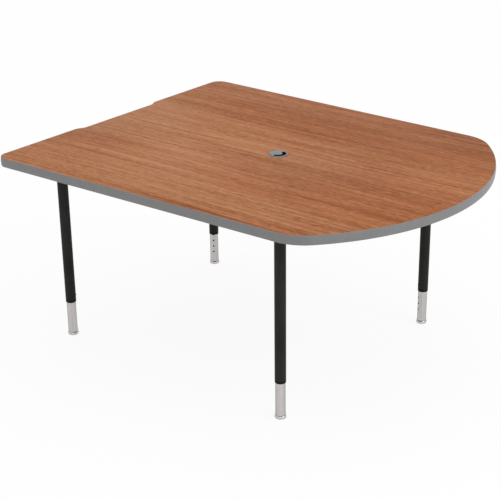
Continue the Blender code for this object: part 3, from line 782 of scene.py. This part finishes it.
def slot_outline():
    """Curved slot of even width along the rim of the cap, round at its head and at its tail."""
    half = SLOT_WIDTH / 2
    outer = CAP_RADIUS - SLOT_RIM
    middle = outer - half
    head, tail = (
        (middle * math.cos(math.radians(angle)), middle * math.sin(math.radians(angle)))
        for angle in (SLOT_HEAD_ANGLE, SLOT_TAIL_ANGLE))
    points = arc((0.0, 0.0), outer, SLOT_TAIL_ANGLE, SLOT_HEAD_ANGLE, 52)
    points += arc(head, half, SLOT_HEAD_ANGLE, SLOT_HEAD_ANGLE + 180.0, 30)[1:]
    points += arc((0.0, 0.0), outer - SLOT_WIDTH, SLOT_HEAD_ANGLE, SLOT_TAIL_ANGLE, 40)[1:]
    points += arc(tail, half, SLOT_TAIL_ANGLE - 180.0, SLOT_TAIL_ANGLE, 30)[1:-1]
    return points


def paint_shade_inside(mesh, outer, inner, inside):
    """A second, darker material on the inner faces of a piece, chosen by their place and direction: painted
    shade inside its hollows.
    """
    mesh.materials.append(paint[outer])
    mesh.materials.append(paint[inner])
    for face in mesh.polygons:
        if inside(face.center, face.normal):
            face.material_index = 1


def make_grommet():
    """Flanged liner, and the slotted cap with its skirt, which turns in the liner."""
    centre = (GROMMET_X, 0.0, TOP_HEIGHT)
    lip = FLANGE_HEIGHT
    sleeve = GROMMET_HOLE_RADIUS - GAP
    recess = CAP_RADIUS + GAP
    ledge = lip - CAP_THICKNESS - GAP
    profile = [(LINER_BORE, -LINER_DEPTH), (sleeve, -LINER_DEPTH), (sleeve, 0.0), (FLANGE_RADIUS, 0.0)]
    profile += arc((FLANGE_RADIUS - FLANGE_ROUND, lip - FLANGE_ROUND), FLANGE_ROUND, 0.0, 90.0, 6)
    profile += [(recess + GAP, lip), (recess, lip - GAP), (recess, ledge), (LINER_BORE, ledge)]
    ring = to_mesh("grommet_ring", revolve(profile, FINE_ROUND))
    # The liner's bore and recess get near-black plastic: painted shade deep in the hole
    paint_shade_inside(ring, "grommet", "black_plastic",
                lambda at, normal: at.xy.length < recess + GAP and at.z < lip - GAP)
    piece("grommet_ring", ring, "table_frame", "grommet", "grommet_liner", centre)

    under = lip - CAP_THICKNESS
    disc = soften(slab(circle(CAP_RADIUS, FINE_ROUND), [slot_outline()], under, lip), EDGE, 3)
    # Rounding leaves gaps in the disc's list of vertices, and a copy has none, so the order stays the same
    cap = disc.copy()
    disc.free()
    skirt = LINER_BORE - 3 * GAP
    root, foot = under + FINE_EDGE, under - CAP_SKIRT_DEPTH
    section = [(skirt - CAP_SKIRT_WALL, root), (skirt - CAP_SKIRT_WALL, foot), (skirt, foot), (skirt, root)]
    rings = []
    first = SLOT_HEAD_ANGLE + SKIRT_CLEARANCE
    last = 360.0 + SLOT_TAIL_ANGLE - SKIRT_CLEARANCE
    for x, y in arc((0.0, 0.0), 1.0, first, last, 60):
        rings.append([cap.verts.new((radius * x, radius * y, height)) for radius, height in section])
    for near, far in zip(rings, rings[1:]):
        join_rings(cap, near, far)
    cap.faces.new(rings[0])
    cap.faces.new(rings[-1])
    lid = to_mesh("grommet_lid", cap)
    # The cap's underside, slot walls and skirt get near-black plastic: painted shade under the cap
    paint_shade_inside(lid, "grommet", "black_plastic",
                lambda at, normal: normal.z < 0.3 and at.xy.length < CAP_RADIUS - 2 * GAP)
    piece("grommet_lid", lid, "grommet_cap", "grommet", "grommet_cap", centre)


# Legs

def rounded_square(side, corner, steps=10):
    """Outline of a square plate with round corners."""
    points = []
    reach = side / 2 - corner
    for quarter, (sx, sy) in enumerate(((1, 1), (-1, 1), (-1, -1), (1, -1))):
        points += arc((sx * reach, sy * reach), corner, 90.0 * quarter, 90.0 * (quarter + 1), steps)
    return points


def corner_places():
    """Places of a plate's four screws."""
    reach = SCREW_SPACING / 2
    return [(sx * reach, sy * reach) for sx in (-1, 1) for sy in (-1, 1)]


def plate_mesh():
    """Mounting plate with its screw holes."""
    holes = [circle(SCREW_RADIUS + 2 * GAP, SCREW_HOLE_ROUND, place) for place in corner_places()]
    return to_mesh("plate", soften(slab(rounded_square(PLATE_SIDE, PLATE_CORNER), holes,
                                        PLATE_BOTTOM, PLATE_TOP), PLATE_EDGE))


def weld_mesh():
    """Fillet of weld between tube and plate, which runs a little into both."""
    bm = bmesh.new()
    steps = 7
    rings = []
    for side, (x, y) in enumerate(circle(1.0, WELD_SIDES)):
        pool = (side * WELD_RIPPLES / WELD_SIDES) % 1.0
        swell = SWELL_HEIGHT * math.sin(2 * math.pi * SWELLS * side / WELD_SIDES)
        leg = WELD_REACH * (1.0 + RIPPLE_HEIGHT * math.sin(math.pi * pool) + swell)
        ring = []
        for step in range(steps + 1):
            bend = math.radians(90.0 * step / steps)
            reach = TUBE_RADIUS + leg * math.cos(bend) ** WELD_HOLLOW
            drop = leg * math.sin(bend) ** WELD_HOLLOW
            ring.append(bm.verts.new((reach * x, reach * y, PLATE_BOTTOM - drop)))
        inner = TUBE_RADIUS - FINE_EDGE
        ring.append(bm.verts.new((inner * x, inner * y, PLATE_BOTTOM + WELD_SINK)))
        rings.append(ring)
    for near, far in zip(rings, rings[1:] + rings[:1]):
        join_rings(bm, near, far)
    return to_mesh("weld", bm, 60.0)


def screw_mesh():
    """Pan-head wood screw with a cross recess."""
    head, height = SCREW_HEAD_RADIUS, SCREW_HEAD_HEIGHT
    profile = [(0.0, -height), (head * 0.45, -height * 0.99)]
    for angle in (20, 40, 60, 80, 90):
        bend = math.radians(angle)
        profile.append((head * (HEAD_SHOULDER + (1 - HEAD_SHOULDER) * math.sin(bend)),
                        -height * (0.30 + 0.67 * math.cos(bend))))
    profile += [(head, 0.0), (SCREW_RADIUS, 0.0), (SCREW_RADIUS, SCREW_LENGTH - 2 * SCREW_RADIUS),
                (0.0, SCREW_LENGTH)]
    arm, half = RECESS_ARM, RECESS_HALF_WIDTH
    outline = [(arm, half), (half, half), (half, arm), (-half, arm), (-half, half), (-arm, half),
               (-arm, -half), (-half, -half), (-half, -arm), (half, -arm), (half, -half), (arm, -half)]
    wide = [(x * 1.1, y * 1.1, -height - CUTTER_REACH) for x, y in outline]
    narrow = [(x * RECESS_TAPER, y * RECESS_TAPER, RECESS_DEPTH - height) for x, y in outline]
    cross = bmesh.new()
    add_prism(cross, wide, narrow)
    return cut_mesh("wood_screw", revolve(profile, SCREW_ROUND, closed=False), cross)


def tube_mesh():
    """Outer tube, its lower edge broken."""
    profile = [(TUBE_BORE, TUBE_END_HEIGHT), (TUBE_RADIUS - EDGE, TUBE_END_HEIGHT),
               (TUBE_RADIUS, TUBE_END_HEIGHT + EDGE), (TUBE_RADIUS, TUBE_TOP), (TUBE_BORE, TUBE_TOP)]
    return to_mesh("black_tube", revolve(profile))


def bush_mesh():
    """Guide bush: a collar below the tube and a sleeve inside it."""
    top = TUBE_END_HEIGHT - GAP
    bottom = TUBE_END_HEIGHT - BUSH_COLLAR
    bore = INSERT_RADIUS + SLIDE_FIT
    sleeve = TUBE_BORE - SLIDE_FIT
    profile = [(bore, bottom + EDGE), (bore + EDGE, bottom), (TUBE_RADIUS - BUSH_ROUND, bottom)]
    profile += arc((TUBE_RADIUS - BUSH_ROUND, bottom + BUSH_ROUND), BUSH_ROUND, -90.0, 0.0, 10)[1:]
    profile += [(TUBE_RADIUS, top - EDGE), (TUBE_RADIUS - EDGE, top), (sleeve, top),
                (sleeve, top + BUSH_SLEEVE), (bore, top + BUSH_SLEEVE)]
    return to_mesh("bush", revolve(profile))


def lock_screw_mesh():
    """Button-head screw with a hexagon socket, its axis along X."""
    seat = TUBE_RADIUS + GAP / 3
    rise = LOCK_HEAD_HEIGHT
    profile = [(0.0, INSERT_RADIUS + GAP), (LOCK_SHANK_RADIUS, INSERT_RADIUS + GAP),
               (LOCK_SHANK_RADIUS, seat), (LOCK_HEAD_RADIUS, seat), (LOCK_HEAD_RADIUS, seat + EDGE)]
    for angle in range(15, 105, 15):
        bend = math.radians(angle)
        profile.append((LOCK_HEAD_RADIUS * (HEAD_SHOULDER + (1 - HEAD_SHOULDER) * math.cos(bend)),
                        seat + EDGE + (rise - EDGE) * math.sin(bend)))
    profile.append((0.0, seat + rise))
    hexagon = circle(LOCK_SOCKET_RADIUS, 6)
    levels = (seat + rise - LOCK_SOCKET_DEPTH, seat + rise + CUTTER_REACH)
    socket = bmesh.new()
    add_prism(socket, *([(x, y, level) for x, y in hexagon] for level in levels))
    mesh = cut_mesh("lock_screw", revolve(profile, HOLE_ROUND, closed=False), socket)
    mesh.transform(Matrix.Rotation(math.pi / 2, 4, "Y"))
    return mesh


def insert_mesh():
    """Chrome tube with its row of holes along local +X and a slightly flared lower end."""
    flare = [(INSERT_RADIUS + INSERT_FLARE * (1.0 - share) ** 2, FLARE_LENGTH * share)
             for share in (0.04, 0.2, 0.4, 0.6, 0.8, 1.0)]
    outer = [(INSERT_RADIUS + INSERT_FLARE - EDGE, 0.0)] + flare
    outer += [(INSERT_RADIUS, INSERT_LENGTH - EDGE), (INSERT_RADIUS - EDGE, INSERT_LENGTH)]
    inner = [(INSERT_BORE, INSERT_LENGTH)] + [(radius - INSERT_WALL, z) for radius, z in reversed(flare)]
    inner.append((INSERT_BORE + INSERT_FLARE, 0.0))
    holes = bmesh.new()
    for number in range(HOLE_COUNT):
        height = LOWEST_HOLE + number * HOLE_PITCH - INSERT_BOTTOM
        hole = circle(HOLE_RADIUS, HOLE_ROUND)
        add_prism(holes, *([(x, y, z + height) for y, z in hole] for x in (INSERT_BORE / 2, 2 * TUBE_RADIUS)))
    mesh = cut_mesh("insert", revolve(outer + inner, FINE_ROUND), holes, 30.0)
    round_shading(mesh)
    # Bare steel inside the insert, dark enough to stand as painted shade in its holes
    paint_shade_inside(mesh, "chrome", "bore", lambda at, normal: at.xy.length < INSERT_RADIUS - GAP)
    return mesh


def socket_mesh():
    """Plug in the lower end of the insert, which holds the stem."""
    bore = STEM_RADIUS + SLIDE_FIT
    outer = INSERT_BORE - SLIDE_FIT
    edge = SOCKET_EDGE
    profile = [(bore, GAP + edge), (bore + edge, GAP), (outer - edge, GAP), (outer, GAP + edge),
               (outer, SOCKET_LENGTH), (bore, SOCKET_LENGTH)]
    return to_mesh("stem_socket", revolve(profile, SMALL_ROUND))


def stem_mesh():
    """Glide stem: ball, neck, collar and a shank with a groove near its tip."""
    collar_top = INSERT_BOTTOM - BALL_HEIGHT
    collar_bottom = collar_top - STEM_COLLAR_HEIGHT
    shank_top = collar_top + GAP + SOCKET_LENGTH + STEM_TIP
    neck = math.degrees(math.acos(NECK_RADIUS / BALL_RADIUS))
    ball = arc((0.0, 0.0), BALL_RADIUS, -90.0, neck, 16)
    profile = [(0.0, ball[0][1])] + ball[1:]
    profile += [
        (NECK_RADIUS, collar_bottom), (STEM_COLLAR_RADIUS - FINE_EDGE, collar_bottom),
        (STEM_COLLAR_RADIUS, collar_bottom + FINE_EDGE), (STEM_COLLAR_RADIUS, collar_top - FINE_EDGE),
        (STEM_COLLAR_RADIUS - FINE_EDGE, collar_top), (STEM_RADIUS, collar_top),
        (STEM_RADIUS, shank_top - STEM_TIP), (GROOVE_RADIUS, shank_top - STEM_TIP),
        (GROOVE_RADIUS, shank_top - STEM_TIP / 2), (STEM_RADIUS, shank_top - STEM_TIP / 2),
        (GROOVE_RADIUS, shank_top), (0.0, shank_top),
    ]
    return to_mesh("glide_stem", revolve(profile, PIN_ROUND, closed=False))


def cup_mesh():
    """Domed shell of the glide, its widest ring a little below the middle."""
    tall = CUP_HEIGHT
    flank = CUP_RADIUS - CUP_BASE_RADIUS
    shoulder = CUP_RADIUS - CUP_TOP_RADIUS
    outside = [(0.0, 0.0), (CUP_BASE_RADIUS - CUP_EDGE, 0.0), (CUP_BASE_RADIUS, FINE_EDGE)]
    for angle in range(15, 105, 15):
        bend = math.radians(angle)
        outside.append((CUP_BASE_RADIUS + flank * math.sin(bend), tall * (0.46 - 0.44 * math.cos(bend))))
    for angle in range(15, 90, 15):
        bend = math.radians(angle)
        outside.append((CUP_TOP_RADIUS + shoulder * math.cos(bend), tall * (0.50 + 0.46 * math.sin(bend))))
    outside += [(CUP_TOP_RADIUS - CUP_EDGE, tall - FINE_EDGE / 2), (CUP_MOUTH_RADIUS + 2 * FINE_EDGE, tall),
                (CUP_MOUTH_RADIUS, tall - 2 * FINE_EDGE)]
    inside = [(CUP_MOUTH_RADIUS, tall - CUP_WALL), (CUP_TOP_RADIUS - CUP_WALL / 2, tall - CUP_WALL),
              (CUP_RADIUS - CUP_WALL, tall / 2), (CUP_BASE_RADIUS - CUP_WALL / 2, CUP_WALL),
              (0.0, CUP_WALL)]
    shape = [(radius, height - BALL_HEIGHT) for radius, height in outside + inside]
    return to_mesh("glide_cup", revolve(shape, ROUND, closed=False))


def seat_mesh():
    """Moulded seat inside the cup, hollowed for the ball."""
    bottom = CUP_WALL + GAP - BALL_HEIGHT
    top = CUP_HEIGHT - CUP_WALL - GAP - BALL_HEIGHT
    socket = BALL_RADIUS + BALL_FIT
    opening = math.degrees(math.asin(top / socket))
    profile = [(0.0, -socket)] + arc((0.0, 0.0), socket, -90.0, opening, 12)[1:]
    profile += [(CUP_TOP_RADIUS - CUP_WALL, top), (CUP_RADIUS - 2 * CUP_WALL, CUP_HEIGHT / 2 - BALL_HEIGHT),
                (CUP_BASE_RADIUS - 2 * CUP_WALL, bottom), (0.0, bottom)]
    return to_mesh("glide_seat", revolve(profile, SMALL_ROUND, closed=False))


def make_legs():
    """The pieces of each leg, from its plate down to its glide, on the bodies that move them."""
    plate, weld, screw, tube, bush = plate_mesh(), weld_mesh(), screw_mesh(), tube_mesh(), bush_mesh()
    lock, insert, socket = lock_screw_mesh(), insert_mesh(), socket_mesh()
    stem, cup, seat = stem_mesh(), cup_mesh(), seat_mesh()
    turns = random.Random(7)
    for name, x, y, turn in LEGS:
        foot = (x, y, 0.0)
        piece("plate_" + name, plate, "table_frame", "black_paint", "mounting_plate_" + name, foot)
        piece("weld_" + name, weld, "table_frame", "black_paint", None, foot)
        for number, (dx, dy) in enumerate(corner_places(), 1):
            tag = name + "_" + str(number)
            piece("wood_screw_" + tag, screw, "table_frame", "zinc", "plate_screw_" + tag,
                  (x + dx, y + dy, PLATE_BOTTOM - GAP / 3), turns.uniform(0.0, 90.0))
        piece("black_tube_" + name, tube, "table_frame", "black_paint", "outer_tube_" + name, foot, turn)
        piece("bush_" + name, bush, "table_frame", "black_plastic", "guide_bush_" + name, foot, turn)
        piece("button_screw_" + name, lock, "table_frame", "black_paint", "lock_screw_" + name,
              (x, y, LOCK_HEIGHT), turn)
        low = (x, y, INSERT_BOTTOM)
        piece("chrome_insert_" + name, insert, "insert_" + name, "chrome", "insert_tube_" + name, low, turn)
        piece("socket_plug_" + name, socket, "insert_" + name, "black_plastic", "stem_socket_" + name,
              low, turn)
        ball = (x, y, BALL_HEIGHT)
        piece("stem_pin_" + name, stem, "stem_" + name, "zinc", "glide_stem_" + name, ball)
        piece("cup_shell_" + name, cup, "cup_" + name, "nickel", "glide_cup_" + name, ball)
        piece("seat_ring_" + name, seat, "cup_" + name, "black_plastic", "glide_seat_" + name, ball)


# Studio

def seen_ray(tree):
    """1 for what the camera sees straight, mirrored or through glass, and 0 for light on the object."""
    path = add(tree, "ShaderNodeLightPath").outputs
    seen = maths(tree, "MAXIMUM", path["Is Camera Ray"], path["Is Glossy Ray"])
    return maths(tree, "MAXIMUM", seen, path["Is Transmission Ray"])


def make_studio():
    """Pale floor, white surroundings and one large soft lamp on the bowed end's side."""
    scene = bpy.context.scene
    scene.view_settings.view_transform = "Standard"
    mesh = bpy.data.meshes.new("floor")
    corners = [(sx * FLOOR_REACH, sy * FLOOR_REACH, 0.0) for sx, sy in ((-1, -1), (1, -1), (1, 1), (-1, 1))]
    mesh.from_pydata(corners, [], [(0, 1, 2, 3)])
    floor = bpy.data.objects.new("floor", mesh)
    bpy.context.collection.objects.link(floor)
    made, tree, shader = new_material("floor", roughness=0.9, shine=0.1)
    tint = span(tree, noise(tree, (0.7, 0.7, 0.7), 2.0), 0.3, 0.7)
    feed(tree, shader, colour=mix(tree, tint, FLOOR_SHADE, FLOOR_TINT))
    glow = add(tree, "ShaderNodeEmission", {"Color": WHITE, "Strength": 1.0})
    path = add(tree, "ShaderNodeLightPath").outputs
    share = weighted(tree, [(path["Is Camera Ray"], GLOW_SEEN), (path["Is Glossy Ray"], GLOW_MIRRORED),
                            (path["Is Transmission Ray"], GLOW_MIRRORED)])
    blend = add(tree, "ShaderNodeMixShader", {0: share, 1: shader.outputs[0], 2: glow.outputs[0]})
    tree.links.new(blend.outputs[0], tree.nodes["Material Output"].inputs["Surface"])
    mesh.materials.append(made)

    world = bpy.data.worlds.new("studio")
    world.use_nodes = True
    scene.world = world
    tree = world.node_tree
    background = tree.nodes["Background"]
    background.inputs["Color"].default_value = WHITE
    sky = add(tree, "ShaderNodeSeparateXYZ", {0: add(tree, "ShaderNodeTexCoord").outputs["Generated"]})
    sky = span(tree, sky.outputs["Z"], 0.0, 1.0, HORIZON_LIGHT, OVERHEAD_LIGHT)
    strength = add(tree, "ShaderNodeMix", {0: seen_ray(tree), 2: sky, 3: 1.0}).outputs[0]
    tree.links.new(strength, background.inputs["Strength"])

    light = bpy.data.lights.new("key", "AREA")
    light.shape = "DISK"
    light.size = LAMP_SIZE
    light.energy = LAMP_POWER
    lamp = bpy.data.objects.new("key", light)
    bpy.context.collection.objects.link(lamp)
    lamp.location = LAMP_PLACE
    lamp.rotation_euler = (LAMP_TARGET - LAMP_PLACE).to_track_quat("-Z", "Y").to_euler()


make_camera()
paint = make_materials()
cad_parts["core_board"].data.materials.clear()
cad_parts["core_board"].data.materials.append(paint["core"])
make_top()
make_grommet()
make_legs()
make_studio()
